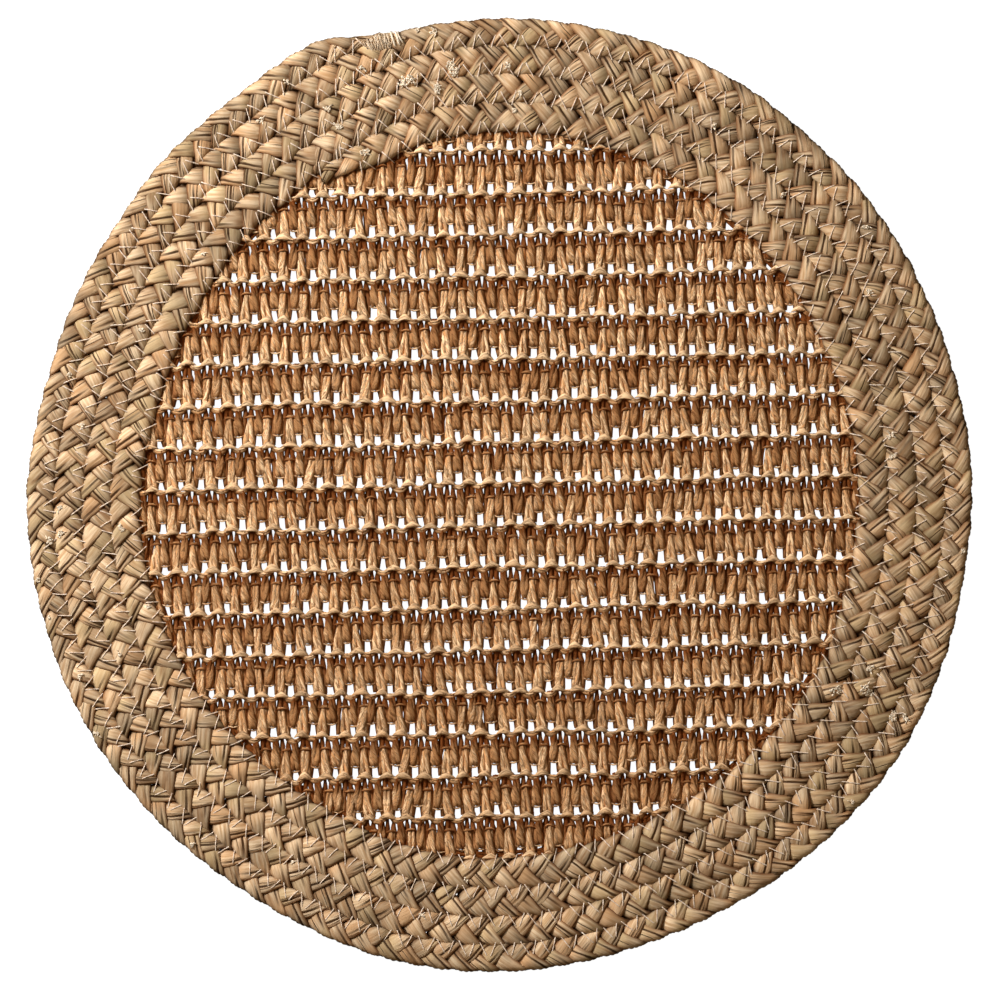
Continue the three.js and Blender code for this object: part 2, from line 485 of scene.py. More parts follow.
def wound_in(along, across, up):
    """Winds places in the straight braid onto the mat, between the braid's two edges."""
    wound = np.interp(along, route_length, wound_steps)
    inner, outer = braid_edges(wound)
    radius = inner + (outer - inner) * (across / BRAID_WIDTH + 0.5)
    x, y = around_centre(radius, BRAID_START_ANGLE - wound)
    return np.stack([x, y, up], axis=-1)


# %% [markdown]
# The ribbon is wide where it shows in the middle of the braid and gathered narrow where the sewing
# pulls it over an edge, which gives each leaf its pointed tip. Only on the outside of the last
# course, which nothing is sewn to, does it roll over the edge at full width. Every leaf is a little
# different in width, thickness and tilt.

# %% Where the rings of a strand are
RINGS_PER_CROSSING = 15
RINGS_NEAR_FOLDS = 0.08
PLEAT_HALF = 0.13
SHARES_BEFORE_PLEAT = (-1, -0.84, -0.48, -0.1)


def ring_runs():
    """The run along a strand at each ring. The rings lie closer together where the ribbon folds."""
    last_run = (braid_length + 2 * ADVANCE) / math.cos(SLANT)
    count = int(last_run / RUN_PER_CROSSING * RINGS_PER_CROSSING)
    run = np.linspace(0, last_run, count)[:, None]
    return run + RINGS_NEAR_FOLDS * RUN_PER_CROSSING * np.sin(2 * math.pi * run / RUN_PER_CROSSING)


def pleated_shares(pleat):
    """Places across the ribbon, from -1 to 1, with three of them at the pleat."""
    full = np.ones_like(pleat)
    beside = (1 + pleat + PLEAT_HALF) / 2
    before = [share * full for share in SHARES_BEFORE_PLEAT]
    at_pleat = [pleat - PLEAT_HALF, pleat, pleat + PLEAT_HALF]
    return np.concatenate(before + at_pleat + [beside + 0.1, full], axis=1)


# %% A strand's ribbon, laid in the braid
RIBBON_WIDTH = 6.9
GATHERED_SHARE = 0.65
GATHERED_AT_RIM = 0.25
SEWN_OVERLAP = 0.3
CROWN = 1.1
EACH_LEAF = RUN_PER_CROSSING / 2


def ribbon_width(run, seed, fold_nearness, free_rim):
    """The ribbon is gathered at its folds, but much less where it turns at the free rim."""
    gathered = fold_nearness ** 1.3 * (1 - (1 - GATHERED_AT_RIM) * free_rim)
    width = RIBBON_WIDTH * (1 + wander(run, EACH_LEAF, seed, 0.13))
    return width * (1 - (1 - GATHERED_SHARE) * gathered)


def ribbon_middle(run, sway, lead, seed, fold_nearness, last_course):
    """The middle surface of the ribbon, wound onto the mat."""
    along, across, up = folded_ribbon(run, sway)
    along = along + lead - 2 * ADVANCE + wander(run, RUN_PER_CROSSING, seed + 1, 0.8)
    pressed = 1 + SEWN_OVERLAP * np.where(across > 0, 1 - last_course, 1.0)
    across = across * pressed + wander(run, RUN_PER_CROSSING * 0.7, seed + 2, 0.25)
    tilt = wander(run, EACH_LEAF, seed + 3, 0.15)
    up = up + tilt * sway * (1 - fold_nearness) + wander(run, EACH_LEAF, seed + 4, 0.15)
    up = up + CROWN * (0.45 - (across / HALF_WIDTH) ** 2) * ease(up, -FOLD_RADIUS, FOLD_RADIUS)
    along = np.clip(along, 0, braid_length)
    return wound_in(along, across, up + BRAID_MIDDLE_HEIGHT)


# %% [markdown]
# A ribbon has two faces. Both are made by moving the middle surface out along its normal, by half of
# a thickness that swells in the middle and sinks along the pleat. The Solidify modifier would do this
# with one even thickness, and a folded leaf is thicker on one side of its pleat than on the other.

# %% Give the ribbon its thickness
PLEAT_SINK = 0.42
PLEAT_SPREAD = 0.1
FLAP_THINNER = 0.22


def two_faces(middle, share, pleat, pleat_depth, thickness):
    """Rings round the ribbon, from its middle surface and its thickness."""
    down_run = np.gradient(middle, axis=0)
    over_width = np.gradient(middle, axis=1)
    normal = np.cross(down_run, over_width)
    normal /= np.linalg.norm(normal, axis=-1, keepdims=True) + 1e-9
    flap = 1 - FLAP_THINNER * pleat_depth * ease(share, pleat, pleat + PLEAT_HALF)
    sink = PLEAT_SINK * pleat_depth * np.exp(-((share - pleat) / PLEAT_SPREAD) ** 2)
    swell = thickness / 2 * np.sqrt(1 - np.abs(share) ** 2.2) * flap * (1 - sink)
    one_side = middle + normal * swell[..., None]
    other_side = middle - normal * swell[..., None]
    return np.concatenate([one_side, other_side[:, -2:0:-1]], axis=1)


# %% [markdown]
# The finish needs to know where on the ribbon it is. So every point stores where it lies along and
# across the ribbon, how far it is from three fold lines, how deep each fold is there, and two slow
# random tones that change from leaf to leaf.

# %% What each point of a strand stores
FOLD_HOMES = (0.3, -0.27)


def leaf_measures(run, share, width, height, pleat, pleat_depth, seed):
    """The measures of every point, for the leaf's finish."""
    shares = np.concatenate([share, share[:, -2:0:-1]], axis=1)
    columns = share.shape[1]
    side = np.concatenate([np.ones(columns), -np.ones(columns - 2)])[None, :]
    full = np.broadcast_to
    shape = shares.shape
    places = np.stack([full(run, shape), shares * full(width, shape) / 2, height], axis=-1)
    creases = [(shares - pleat) * width / 2]
    depths = [full(pleat_depth, shape)]
    for number, home in enumerate(FOLD_HOMES):
        line = pleat + home + wander(run, EACH_LEAF, seed + 10 + number, 0.1)
        creases.append((shares - line * side) * width / 2)
        depths.append(full(ease(wander(run, EACH_LEAF, seed + 20 + number), -0.3, 0.7), shape))
    tones = [full(wander(run, EACH_LEAF, seed + 30 + number), shape) for number in range(2)]
    tones.append(full(shares, shape))
    return {
        "strand": places,
        "creases": np.stack(creases, axis=-1),
        "crease_depth": np.stack(depths, axis=-1),
        "tone": np.stack(tones, axis=-1),
    }


# %% One strand as rings of points
LAST_COURSE_FROM = 372
LAST_COURSE_FULLY = 350


def strand_tube(strand):
    run = ring_runs()
    lead = strand * 2 * ADVANCE / 3
    seed = 100 * (strand + 1)
    along_middle = run * math.cos(SLANT) + lead - 2 * ADVANCE
    left = BRAID_WOUND_DEGREES - np.interp(along_middle, route_length, wound_steps)
    last_course = 1 - ease(left, LAST_COURSE_FULLY, LAST_COURSE_FROM)
    folds_outward = np.mod(np.floor(run / RUN_PER_CROSSING), 2)
    fold_nearness = np.sin(math.pi * run / RUN_PER_CROSSING) ** 2
    width = ribbon_width(run, seed, fold_nearness, last_course * folds_outward)
    pleat = 0.38 + wander(run, RUN_PER_CROSSING, seed + 6, 0.2)
    pleat_depth = ease(wander(run, EACH_LEAF, seed + 7), -0.7, 0.5)
    share = pleated_shares(pleat)
    middle = ribbon_middle(run, share * width / 2, lead, seed, fold_nearness, last_course)
    thickness = RIBBON_THICKNESS * (1 + wander(run, EACH_LEAF, seed + 5, 0.12))
    rings = two_faces(middle, share, pleat, pleat_depth, thickness)
    height = rings[..., 2] - BRAID_MIDDLE_HEIGHT
    measures = leaf_measures(run, share, width, height, pleat, pleat_depth, seed)
    inside = (along_middle[:, 0] > -1.0) & (along_middle[:, 0] < braid_length + 1.0)
    return rings[inside][::-1], {name: values[inside][::-1] for name, values in measures.items()}


# %% [markdown]
# ## The leaf finish
# Dried leaf is pale khaki with a green or an orange cast from place to place, and streaked along its
# length. Its rolled edges are browner, partly in the leaf's own colour and partly with painted shade of
# the rounded crown. The folds and the places deep between two layers are darkened almost to black with
# painted shade. A picture of leaf would have to be stretched along 5 metres of ribbon. Instead the streaks
# and folds are drawn from the measures that each point stores, so they follow the ribbon wherever it goes.

# %% Leaf material
def leaf_finish(name, offset):
    leaf = Finish(name)
    run, sway, height = leaf.measured("strand")
    cast, light, share = leaf.measured("tone")
    pleat, fold, other_fold = leaf.measured("creases")
    pleat_depth, fold_depth, other_depth = leaf.measured("crease_depth")
    streak = leaf.noise(leaf.vector(run * 0.07, sway * 1.3, height * 0.3 + offset), 1.0, 3.0)
    fibre = leaf.noise(leaf.vector(run * 0.25, sway * 6.0, height + offset), 1.0, 2.0)
    patch = leaf.noise(leaf.vector(run * 0.11, sway * 0.35, offset + 7.0), 1.0, 2.0)
    tan = leaf.mixed(streak.eased(0.26, 0.74), (0.49, 0.285, 0.14), (0.83, 0.625, 0.405))
    olive = leaf.mixed(cast.eased(0.0, 0.9) * 0.7, tan, (0.53, 0.375, 0.19))
    orange = leaf.mixed((0 - cast).eased(0.2, 1.0) * 0.7, olive, (0.57, 0.315, 0.145))
    aged = leaf.mixed(patch.eased(0.5, 0.78) * 0.65, orange, (0.31, 0.145, 0.06))
    waver = (fibre - 0.5) * 0.3
    # Painted shade: the pleat and the two fold lines are darkened as shade lying in their creases.
    in_pleat = (1 - (pleat + waver).distance().eased(0.1, 0.5)) * pleat_depth
    in_fold = (1 - (fold + waver).distance().eased(0.05, 0.26)) * fold_depth
    in_other = (1 - (other_fold + waver).distance().eased(0.04, 0.22)) * other_depth
    lines = in_pleat.or_more(in_fold * 0.9).or_more(in_other * 0.85)
    # The rolled edges are browner, partly in the leaf's own colour and partly with painted shade where the
    # rounded crown turns away from the light.
    rolled = (share + waver * 0.2).distance().eased(0.62, 1.0)
    browned_and_shaded = leaf.mixed(rolled * 0.85, aged, (0.165, 0.055, 0.014))
    # Painted shade: points low between the two layers of the braid are darkened as if deep in shade, but
    # the underside, lowest of all, keeps the leaf's own colour.
    sunk = 1 - height.eased(-0.3, 2.1).or_more((0 - height).eased(1.6, 2.3))
    crease_shaded = leaf.mixed(lines.or_more(sunk * 0.96) * 0.95, browned_and_shaded, (0.04, 0.0105, 0.0015))
    bright = light * 0.42 + 1.03 + (fibre - 0.5) * 0.42
    steps = fold.eased(-0.12, 0.12) * fold_depth * 0.8 + other_fold.eased(-0.1, 0.1) * other_depth * 0.6
    relief = streak * 0.4 + fibre * 0.25 - lines * 0.5 + steps
    return leaf.finished(
        Base_Color=leaf.shaded(crease_shaded, bright),
        Roughness=0.56 + fibre * 0.12,
        Specular_IOR_Level=0.05,
        Normal=leaf.bump(relief, 0.0005),
    )


# %% Braid the three strands
STRIP_ROWS = 22
strand_pieces = []
for strand in range(3):
    rings, measures = strand_tube(strand)
    piece = Piece("leaf_strand_" + "abc"[strand], {"rows_per_tube": STRIP_ROWS})
    piece.add_tube(rings, measures)
    made = piece.build(leaf_finish("dried_leaf_" + "abc"[strand], 11.0 * strand))
    strand_pieces.append(made)
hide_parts("braided_border")

# %% [markdown]
# ## The crochet
# Every row of the crochet is the same few forms over and over. Pale posts stand in front, each with
# a tent of raffia wrapped over its foot. Darker posts hang behind and between them from a sagging
# saddle, and end in a thin hooked loop. The white gaps are what is left between the pale posts. The
# forms could be instanced by Geometry Nodes, but each stitch here leans, thickens and twists in its
# own way, so each is swept as its own little tube of yarn, worked out in one loop.

# %% Where the stitches are, in millimetres
ROWS_TURNED = 1.3
ROW_COUNT = 18
ROW_PITCH = 16.64
TOP_ROW = 137.4
STITCH_PITCH = 7.94


def column_drift(up):
    """How far the columns of stitches drift sideways with height, as the rows were hooked."""
    return -0.44 - 0.0195 * up + 0.00011 * up * up


def on_mat(stitch_points):
    """Turns points along and up the rows into the mat's own axes."""
    turned = math.radians(ROWS_TURNED)
    along, up, height = stitch_points[..., 0], stitch_points[..., 1], stitch_points[..., 2]
    x = spiral_centre[0] + along * math.cos(turned) - up * math.sin(turned)
    y = spiral_centre[1] + along * math.sin(turned) + up * math.cos(turned)
    return np.stack([x, y, height], axis=-1)


# %% [markdown]
# The crochet ends where the innermost course of the braid begins. Its outermost stitches are not cut
# off there: they are drawn in and flattened under the braid's edge, as the real ones are sewn down.

# %% The rim of the crochet
RIM_OVERLAP = 0.9
TUCK_DEPTH = 2.2
TUCKED_HEIGHT = 1.6
TUCKED_SHARE = 0.45


def rim_radius(x, y):
    angle = np.degrees(np.arctan2(y - spiral_centre[1], x - spiral_centre[0]))
    wound = np.mod(BRAID_START_ANGLE - angle, 360)
    return braid_edges(wound)[0] + RIM_OVERLAP


def past_rim(path):
    """How far each point of a path lies past the rim, or how far short of it, if negative."""
    return np.hypot(*(path[:, :2] - spiral_centre).T) - rim_radius(path[:, 0], path[:, 1])


def tucked(points):
    """Draws in and presses down what would reach past the rim."""
    x, y = points[..., 0] - spiral_centre[0], points[..., 1] - spiral_centre[1]
    radius = np.hypot(x, y)
    free = rim_radius(points[..., 0], points[..., 1]) - TUCK_DEPTH
    past = np.maximum(radius - free, 0)
    drawn_in = np.where(past > 0, free + TUCK_DEPTH * np.tanh(past / TUCK_DEPTH), radius)
    share = drawn_in / np.maximum(radius, 1e-6)
    pressed = TUCKED_SHARE * np.tanh(past / TUCK_DEPTH)
    height = points[..., 2] - (points[..., 2] - TUCKED_HEIGHT) * pressed
    return np.stack([spiral_centre[0] + x * share, spiral_centre[1] + y * share, height], axis=-1)


# %% One tube of yarn
TWO_PLY_LUMP = 0.13
UNEVENNESS = 0.09


def yarn_tube(path, half_width, half_depth, sides, twist, chance):
    """An uneven, twisted bundle of fibre along a path, as rings of points and their measures: how
    far along it and where in its turning section each point is."""
    steps = len(path)
    tangent = np.gradient(path, axis=0)
    tangent /= np.linalg.norm(tangent, axis=1, keepdims=True)
    beside = np.cross(tangent, (0.0, 0.0, 1.0))
    beside /= np.linalg.norm(beside, axis=1, keepdims=True)
    above = np.cross(beside, tangent)
    around = np.linspace(0, 2 * math.pi, sides, endpoint=False)[None, :]
    turned = around + np.linspace(0, twist, steps)[:, None]
    lump_start = chance.uniform(0, 2 * math.pi)
    lumps = 1 + TWO_PLY_LUMP * np.cos(2 * turned + lump_start)
    lumps = lumps + chance.uniform(-UNEVENNESS, UNEVENNESS, (steps, sides))
    wide = (half_width[:, None] * np.cos(around) * lumps)[..., None]
    deep = (half_depth[:, None] * np.sin(around) * lumps)[..., None]
    rings = path[:, None, :] + beside[:, None, :] * wide + above[:, None, :] * deep
    run = np.cumsum(np.concatenate([[0], np.linalg.norm(np.diff(path, axis=0), axis=1)]))
    yarn = np.stack([
        np.broadcast_to(run[:, None], turned.shape),
        np.cos(turned) * half_width.mean(),
        np.sin(turned) * half_width.mean(),
    ], axis=-1)
    return rings, yarn


def bowed(start, end, bow, steps, lift):
    """Points from start to end that bow sideways in the middle and rise there."""
    share = np.linspace(0, 1, steps)[:, None]
    straight = np.array(start) * (1 - share) + np.array(end) * share
    hump = np.sin(math.pi * share)
    return straight + hump * np.array([0.0, bow, lift])


def through(places, steps):
    """Points on a smooth line through a few places."""
    places = np.array(places)
    spread = np.linspace(0, len(places) - 1, steps)
    line = np.stack([np.interp(spread, np.arange(len(places)), places[:, i]) for i in range(3)], 1)
    line[1:-1] = (line[:-2] + 2 * line[1:-1] + line[2:]) / 4
    return line


# %% [markdown]
# The forms of one stitch come next, one function for each. A form says which mesh it belongs to, where
# its middle line runs, how thick it is, and how shaded its fibre looks in the picture: 0 is straw in
# the light, 1 is deep in shadow, and less than 0 catches the light. The places are millimetres along
# the row and up from its ridge, and height over the table. A table of measured stitches would be
# shorter, but then the same few would show again and again, so each stitch draws its own by chance.

# %% How one stitch differs from the next
HALF_PITCH = STITCH_PITCH / 2
RIGHT_HANDED = 0.75
# Millimetres either way: the post's lean and its foot, and how far the loops sag and the saddle drops.
STITCH_SWINGS = (1.25, 0.85, 0.6, 0.45)


class Stitch:
    """How one stitch leans, sags and twists. Crowding goes from 0 to 1 towards the rim, where the
    stitches are squeezed and their openings close up."""

    def __init__(self, chance, crowding):
        self.chance = chance
        self.crowding = crowding
        self.lean, self.foot, self.sag, self.drop = chance.uniform(-1, 1, 4) * STITCH_SWINGS
        self.cross = 1.0 if chance.random() < RIGHT_HANDED else -1.0
        self.swell = chance.uniform(0.86, 1.18)


def form(piece, path, widths, flatness, sides, twist, shades):
    """One form, with its half widths and its shades spread evenly along its path."""
    ends = np.linspace(0, 1, len(path))
    half_width = np.interp(ends, np.linspace(0, 1, len(widths)), widths)
    shade = np.interp(ends, np.linspace(0, 1, len(shades)), shades)
    return piece, path, half_width, half_width * flatness, sides, twist, shade


# %% [markdown]
# Two legs hang from the row above, behind everything; they are painted dark with shade that is deepest at
# their tops, under the ridge of the row above. Where they stand apart a slit of light shows between them,
# just under the ridge. Further down they run along the sides of the gap.

# %% The legs behind
SLITS_SHOWN = 0.65


def legs(stitch):
    chance = stitch.chance
    apart, thick = (1.3, 0.8) if chance.random() < SLITS_SHOWN else (0.95, 1.25)
    forms = []
    for side in (-1.0, 1.0):
        slip = chance.uniform(-0.12, 0.12)
        leg = [(side * apart + slip, 17.6, 1.25), (side * apart + slip, 15.0, 1.1),
               (side * 0.95, 13.4, 1.0), (side * 1.3, 12.0, 0.95), (side * 1.85, 9.2, 0.9),
               (side * 1.95, 5.0, 0.9), (side * 1.85, 0.7, 1.2)]
        veil = chance.uniform(0.95, 1.65) + 0.45 * stitch.crowding
        widths = [thick, thick, 1.16, 1.36, 1.1, veil, 0.95]
        # Painted shade: the legs are darkest at the top, under the ridge of the row above.
        shades = [1.0, 0.92, 0.85, 0.7, 0.58, 0.5]
        forms.append(form("back", through(leg, 7), widths, 0.75, 5, 3.0, shades))
    return forms


# %% [markdown]
# A post is made of three strands that turn about each other, because a single tube looks like a peg.
# The hanging post is the darker one: its strands are wide apart at its foot and meet at its top.

# %% The hanging post and its two thin loops
POST_STEPS = 7
STRANDS = 3


def hanging_post(stitch, short):
    """The darker post. Short says how many millimetres further down its foot hangs."""
    chance = stitch.chance
    share = np.linspace(0, 1, POST_STEPS)[:, None]
    bottom = np.array((HALF_PITCH + stitch.sag, 5.05 + short, 1.7))
    top = np.array((HALF_PITCH + stitch.sag * 0.4, 16.0, 2.1))
    post_line = bottom * (1 - share) + top * share
    post_tint = chance.uniform(0.06, 0.42)
    spread = 1.1 - 0.5 * share
    forms = []
    for strand in range(STRANDS):
        turning = strand * 2 * math.pi / STRANDS + stitch.cross * 3.0 * share + chance.uniform(-0.3, 0.3)
        offset = np.concatenate([np.cos(turning) * spread, 0 * share, np.sin(turning) * 0.5], axis=1)
        tint = post_tint + chance.uniform(-0.1, 0.15)
        widths = [1.2, 1.3, 1.2, 1.0, 0.9]
        # Painted shade: the hanging post is a little shaded along its length and deeply at its top, under
        # the saddle.
        shades = [tint + 0.2, tint, tint, 0.7, 1.05]
        forms.append(form("back", post_line + offset, widths, 0.75, 5, -7.0 * stitch.cross, shades))
    return forms


def thin_loops(stitch, short):
    """The pale hook round the foot of the hanging post, and the dark ledge under the slits."""
    chance = stitch.chance
    tip = chance.uniform(-0.3, 0.3)
    middle = HALF_PITCH + stitch.sag
    low = 4.3 + short
    hook = [(middle - 2.4, low + 0.9 + tip, 2.0), (middle - 1.2, low + 0.3, 2.3), (middle, low, 2.4),
            (middle + 1.2, low + 0.3, 2.3), (middle + 2.4, low + 0.9 - tip, 2.0)]
    rise = chance.uniform(0.5, 1.1)
    aside = stitch.lean * 0.6
    ledge = bowed((-2.4 + aside, 11.2, 2.3), (2.4 + aside, 11.2 + tip, 2.3), rise, 6, 0.5)
    return [
        # The hook gets a painted highlight in its middle; the ledge is painted dark with shade.
        form("loops", through(hook, 6), [0.12, 0.34, 0.42, 0.34, 0.12], 0.85, 5, 1.0, [0.3, -0.1, 0.3]),
        form("loops", ledge, [0.12, 0.48, 0.62, 0.48, 0.12], 0.9, 5, 1.0, [0.95, 0.6, 0.95]),
    ]


# %% The pale post in front
def pale_post(stitch):
    chance = stitch.chance
    share = np.linspace(0, 1, POST_STEPS)[:, None]
    bottom = np.array((stitch.foot, 0.5, 2.15))
    top = np.array((stitch.lean, 12.4, 1.85))
    post_line = bottom * (1 - share) + top * share
    spread = np.interp(share, [0, 0.6, 1], [1.35, 0.85, 0.7])
    post_tint = chance.uniform(-0.12, 0.14)
    widths = np.array([1.22, 1.15, 1.05, 0.98, 0.9, 0.72]) * stitch.swell
    forms = []
    for strand in range(STRANDS):
        turning = strand * 2 * math.pi / STRANDS + stitch.cross * 1.9 * share + chance.uniform(-0.4, 0.4)
        offset = np.concatenate([np.cos(turning) * spread, 0 * share, np.sin(turning) * 0.45], axis=1)
        tint = post_tint + chance.uniform(-0.06, 0.1)
        # Painted shade: each strand is shaded more towards its top, where it goes in under the ledge.
        shades = [tint, tint, tint, tint + 0.25]
        forms.append(form("front", post_line + offset, widths, 0.72, 5, -4.0 * stitch.cross, shades))
    return forms


# %% [markdown]
# The ridge of a row is a chain of saddles and caps. A saddle is the wide loop that a hanging post hangs
# from, with a rolled edge that catches the light and is painted paler as a highlight. A cap is a flat tent
# of leaf over a pale post's foot, painted with a highlight all over.

# %% The saddle and the cap on the ridge
def saddle(stitch):
    low = -1.55 + stitch.drop
    high = -1.05 + stitch.drop * 0.5
    hang = [(0.7, 0.1, 2.0), (2.1, high, 2.3), (HALF_PITCH, low, 2.6), (2 * HALF_PITCH - 2.1, high, 2.3),
            (2 * HALF_PITCH - 0.7, 0.1, 2.0)]
    edge = through(hang, 7) + np.array([0.0, 0.55 + 0.3 * stitch.sag, 0.5])
    edge_tint = stitch.chance.uniform(-0.3, 0.3)
    return [
        # Painted shade: the saddle is shaded towards its ends, under the caps, and its rolled edge is kept
        # paler as a painted highlight.
        form("front", through(hang, 7), [0.35, 1.15, 1.45, 1.15, 0.35], 0.5, 5, 0.6, [0.35, 0.15, 0.35]),
        form("loops", edge, [0.08, 0.36, 0.5, 0.36, 0.08], 0.7, 5, 1.0, [0.3, edge_tint, 0.3]),
    ]


def cap(stitch):
    chance = stitch.chance
    reach, peak, tilt = chance.uniform(3.0, 4.2), chance.uniform(1.25, 1.7), chance.uniform(-0.45, 0.45)
    out = np.linspace(-1, 1, 7)
    tent = 0.1 + (peak - 0.1) * (1 - np.abs(out)) ** 0.85
    up = tent - 0.45 + tilt * out - 0.3 * out ** 2
    path = np.stack([stitch.foot + reach * out, up, 2.6 + 0.6 * tent], axis=1)
    # Painted highlight: shades below 0 make the whole cap pale straw from end to end, as if evenly lit.
    return [form("front", path, tent, 0.36, 6, 0.4, [-0.3, -0.45, -0.3])]


def stitch_forms(chance, crowding):
    """All the forms of one stitch. Their order matters, because all of them draw from one series."""
    stitch = Stitch(chance, crowding)
    forms = legs(stitch)
    short = chance.uniform(-1.1, 0.35) - 0.7 * crowding
    forms += hanging_post(stitch, short)
    forms += thin_loops(stitch, short)
    forms += pale_post(stitch)
    forms += saddle(stitch)
    return forms + cap(stitch)


# %% [markdown]
# Round the rim the outermost stitches are gathered on a few cords. The cords are painted deep in shade, so
# they show as a thin shadowed line between the crochet and the braid.

# %% The dark cords along the rim
CORD_INSETS = (0.5, 1.5, 2.7)
CORD_WIDTH = 0.85
CORD_HEIGHT = 1.3
CORD_STEPS = 460
CORD_TWIST = 700.0


def rim_cords():
    """The path and the half widths of each cord."""
    angle = np.linspace(0, 360, CORD_STEPS)
    for number, inset in enumerate(CORD_INSETS):
        sway = wander(angle, 2.6, 400 + number, 0.45) - inset
        inner = braid_edges(np.mod(BRAID_START_ANGLE - angle, 360))[0]
        x, y = around_centre(inner + sway, angle)
        height = CORD_HEIGHT + wander(angle, 2.0, 410 + number, 0.3)
        yield np.stack([x, y, height], axis=1), CORD_WIDTH + wander(angle, 1.3, 420 + number, 0.18)


# %% [markdown]
# The picture's light can't shade every fold of such small yarn, so each point also stores how much shade
# is painted on it: darker on the flanks of a post and on the near side of a loop, lighter with a painted
# highlight on a loop's far side, and darker where it is tucked in at the rim. The ambient occlusion node
# could work this out, but it traces extra rays at every point, which is slow on so much fine yarn.

# %% How dark each point of the yarn is
FLANK_SHADE = 0.25
NEARSIDE_SHADE = 0.3
RIM_SHADE = 0.7
RIM_SHADE_FROM = -3.6
RIM_SHADE_FULLY = -0.6


def yarn_tones(path, placed, shade, sides, low, chance):
    """Darkness, a random draw for each tube, and how low in the picture it lies."""
    nearside = np.cos(np.linspace(0, 2 * math.pi, sides, endpoint=False))
    lies_along = np.ptp(path[:, 0]) > np.ptp(path[:, 1])
    flank = NEARSIDE_SHADE * nearside if lies_along else FLANK_SHADE * np.abs(nearside) ** 3
    darkness = shade[:, None] + flank + chance.uniform(-0.08, 0.08)
    darkness = darkness + RIM_SHADE * ease(past_rim(placed), RIM_SHADE_FROM, RIM_SHADE_FULLY)[:, None]
    return np.stack(np.broadcast_arrays(darkness, chance.uniform(0, 1), low), axis=-1)


# %% Hook the rows
ROW_WAVE = 0.45
ROW_SLIP = 0.2
STITCH_SLIP = 0.35
CROWDED_FROM = -26
CROWDED_FULLY = -6
LEFT_OUT_FROM = -0.3
# The cords' shade is near 1: they are painted deep in shadow.
CORD_SHADE_TONE = (0.95, 0.5, 0.5)


def hook_stitch(pieces, middle, row_height, chance):
    """Adds one stitch, apart from the forms that would lie past the rim."""
    east, north = on_mat(np.array([middle, row_height + ROW_PITCH / 3, 0.0]))[:2]
    crowding = ease(np.hypot(east, north) - rim_radius(east, north), CROWDED_FROM, CROWDED_FULLY)
    for layer, path, widths, depths, sides, twist, shade in stitch_forms(chance, crowding):
        placed = on_mat(path + np.array([middle, row_height, 0.0]))
        if past_rim(placed).min() > LEFT_OUT_FROM:
            continue
        rings, yarn = yarn_tube(placed, widths, depths, sides, twist, chance)
        low = 1 - (row_height + path[0, 1]) / TOP_ROW
        tones = yarn_tones(path, placed, shade, sides, low, chance)
        pieces[layer].add_tube(tucked(rings), {"yarn": yarn, "tone": tones})


def crochet_pieces():
    chance = np.random.default_rng(7)
    pieces = {
        "front": Piece("crochet_front", {"rows_per_tube": 0, "columns": 50, "rows": 60}),
        "back": Piece("crochet_back", {"rows_per_tube": 0, "columns": 50, "rows": 60}),
        "loops": Piece("crochet_loops", {"rows_per_tube": 0, "columns": 32, "rows": 36}),
    }
    reach = int(FIRST_COURSE_RADIUS / STITCH_PITCH) + 1
    for row in range(ROW_COUNT):
        level = TOP_ROW - row * ROW_PITCH + chance.uniform(-ROW_SLIP, ROW_SLIP)
        wave = wander(np.arange(2 * reach + 1.0), 2.5, 300 + row, ROW_WAVE)
        for column in range(-reach, reach + 1):
            row_height = level + wave[column + reach] + chance.uniform(-STITCH_SLIP, STITCH_SLIP)
            middle = (column + 0.5) * STITCH_PITCH + column_drift(row_height)
            hook_stitch(pieces, middle, row_height, chance)
    for path, width in rim_cords():
        rings, yarn = yarn_tube(path, width, width * 0.7, 5, CORD_TWIST, chance)
        tones = np.broadcast_to(np.array(CORD_SHADE_TONE), yarn.shape)
        pieces["loops"].add_tube(rings, {"yarn": yarn, "tone": tones})
    return pieces.values()


# %% [markdown]
# ## The raffia finish
# Raffia is torn leaf twisted by hand: dry and dull, streaked by its fibres, and split into fine gaps that
# are darkened with painted shade. Its colour runs from pale straw with a painted highlight on the caps to
# the deep brown of painted shadow on the legs behind. A flat noise would run straight through the yarn, so
# the streaks are drawn from each point's place in the turning bundle, and follow the twist.

